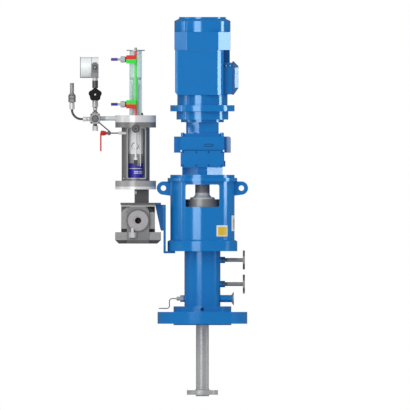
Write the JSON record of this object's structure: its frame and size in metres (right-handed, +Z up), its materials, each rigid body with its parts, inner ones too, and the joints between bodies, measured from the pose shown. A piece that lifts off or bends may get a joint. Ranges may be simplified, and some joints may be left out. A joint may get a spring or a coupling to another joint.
{
  "type": "magnetically coupled agitator",
  "caption": "Top-entry agitator drive: gearmotor on a lantern, sealed magnetic coupling, flanged shaft, and a side pressure vessel with level and pressure gauges.",
  "frame": {"origin": "centre of the underside of the mounting flange, inside its raised face", "axes": "+Z up along the shaft, -Y towards the viewer, -X towards the pressure vessel"},
  "size_m": [0.8398, 0.419, 1.7714],
  "materials": {
    "blue_paint": "satin blue machine paint",
    "motor_paint": "satin blue machine paint on cast aluminium",
    "bracket_paint": "satin blue paint",
    "stainless_steel": "turned stainless steel",
    "shaft_steel": "ground stainless steel",
    "machined_steel": "machined steel",
    "dark_steel": "dark machined steel",
    "gear_steel": "ground gear steel",
    "bearing_steel": "polished bearing steel",
    "lamination_steel": "stacked laminations with varnished windings",
    "magnet_plating": "nickel-plated magnets",
    "bush_bronze": "plain bronze",
    "lead_sheath": "metal-sheathed lead",
    "plate_steel": "dull grey steel",
    "block_steel": "bead-blasted stainless casting",
    "dark_post": "dark grey paint",
    "casing_steel": "dark brushed steel",
    "clear_tube": "clear acrylic tube",
    "aluminium": "turned aluminium",
    "scale_film": "green scale with red ends",
    "clamp_plastic": "green and red blocks",
    "sensor_plastic": "light sensor bodies with blue plugs",
    "black_plastic": "black moulded plastic",
    "gauge_steel": "bright polished steel",
    "white_dial": "white lacquered dial",
    "gauge_glass": "flat instrument glass",
    "pointer_metal": "black lacquered pointer",
    "red_plastic": "glossy red coating"
  },
  "bodies": {
    "root": {"mounting_flange": "blue_paint", "bearing_tube": "stainless_steel", "shaft_bushes": "bush_bronze", "cooling_jacket": "blue_paint", "side_nozzles": "stainless_steel", "temperature_probe": "stainless_steel", "probe_lead": "lead_sheath", "containment_can": "stainless_steel", "lantern": "blue_paint", "lifting_lugs": "blue_paint", "gearbox_housing": "blue_paint", "gearbox_covers": "blue_paint", "shaft_bearings": "bearing_steel", "motor_adapter": "blue_paint", "motor_end_shields": "blue_paint", "motor_frame": "motor_paint", "stator": "lamination_steel", "fan_cowl": "blue_paint", "terminal_box": "motor_paint", "terminal_box_lid": "motor_paint", "support_bracket": "bracket_paint", "block_top_plate": "plate_steel", "connection_block": "block_steel", "bleed_screw": "stainless_steel", "support_post": "dark_post", "vessel_flanges": "stainless_steel", "vessel_casing": "casing_steel", "inner_cylinder": "stainless_steel", "sight_tube": "clear_tube", "sight_tube_cap": "aluminium", "scale_strip": "scale_film", "sensor_clamps": "clamp_plastic", "level_sensors": "sensor_plastic", "manifold_block": "block_steel", "pipe_fittings": "stainless_steel", "connecting_pipes": "stainless_steel", "check_valve": "stainless_steel", "gauge_valve": "stainless_steel", "gauge_case": "gauge_steel", "gauge_dial": "white_dial", "gauge_glass": "gauge_glass", "ball_valve_body": "stainless_steel", "screws_and_bolts": "blue_paint"},
    "drive_rotor": {"output_shaft": "machined_steel", "output_gear": "gear_steel", "coupling_hub": "dark_steel", "outer_magnet_rotor": "machined_steel", "outer_magnets": "magnet_plating"},
    "agitator": {"agitator_shaft": "shaft_steel", "inner_magnet_rotor": "shaft_steel", "inner_magnets": "magnet_plating"},
    "countershaft_set": {"countershaft": "gear_steel", "intermediate_gear": "gear_steel"},
    "motor_rotor": {"motor_shaft": "machined_steel", "rotor_core": "lamination_steel", "fan_wheel": "black_plastic"},
    "indicator": {"indicator_rod": "shaft_steel"},
    "handwheel": {"handwheel": "black_plastic"},
    "valve_lever": {"ball_valve_lever": "red_plastic"},
    "pointer": {"gauge_pointer": "pointer_metal"}
  },
  "joints": [
    {"name": "output_spin", "type": "hinge", "parent": "root", "child": "drive_rotor", "pos_m": [0, 0, 0.6], "axis": [0, 0, 1], "continuous": true},
    {"name": "agitator_spin", "type": "hinge", "parent": "root", "child": "agitator", "pos_m": [0, 0, 0.2], "axis": [0, 0, 1], "continuous": true},
    {"name": "countershaft_spin", "type": "hinge", "parent": "root", "child": "countershaft_set", "pos_m": [0, 0.062, 0.8], "axis": [0, 0, 1], "continuous": true},
    {"name": "motor_spin", "type": "hinge", "parent": "root", "child": "motor_rotor", "pos_m": [0, 0, 1.2], "axis": [0, 0, 1], "continuous": true},
    {"name": "indicator_slide", "type": "slide", "parent": "root", "child": "indicator", "axis": [0, 0, 1], "range_m": [-0.105, 0.08]},
    {"name": "handwheel_turn", "type": "hinge", "parent": "root", "child": "handwheel", "pos_m": [-0.5008, -0.048, 1.0704], "axis": [0, 1, 0], "range_deg": [0, 720]},
    {"name": "lever_turn", "type": "hinge", "parent": "root", "child": "valve_lever", "pos_m": [-0.46, -0.042, 0.8905], "axis": [-1, 0, 0], "range_deg": [0, 90]},
    {"name": "pointer_turn", "type": "hinge", "parent": "root", "child": "pointer", "pos_m": [-0.5615, 0, 1.1969], "axis": [1, 0, 0], "range_deg": [-135, 135]}
  ],
  "couplings": [
    {"joint": "agitator_spin", "follows": "output_spin", "ratio": 1},
    {"joint": "countershaft_spin", "follows": "output_spin", "ratio": -2.2632},
    {"joint": "motor_spin", "follows": "output_spin", "ratio": 5.9907}
  ]
}
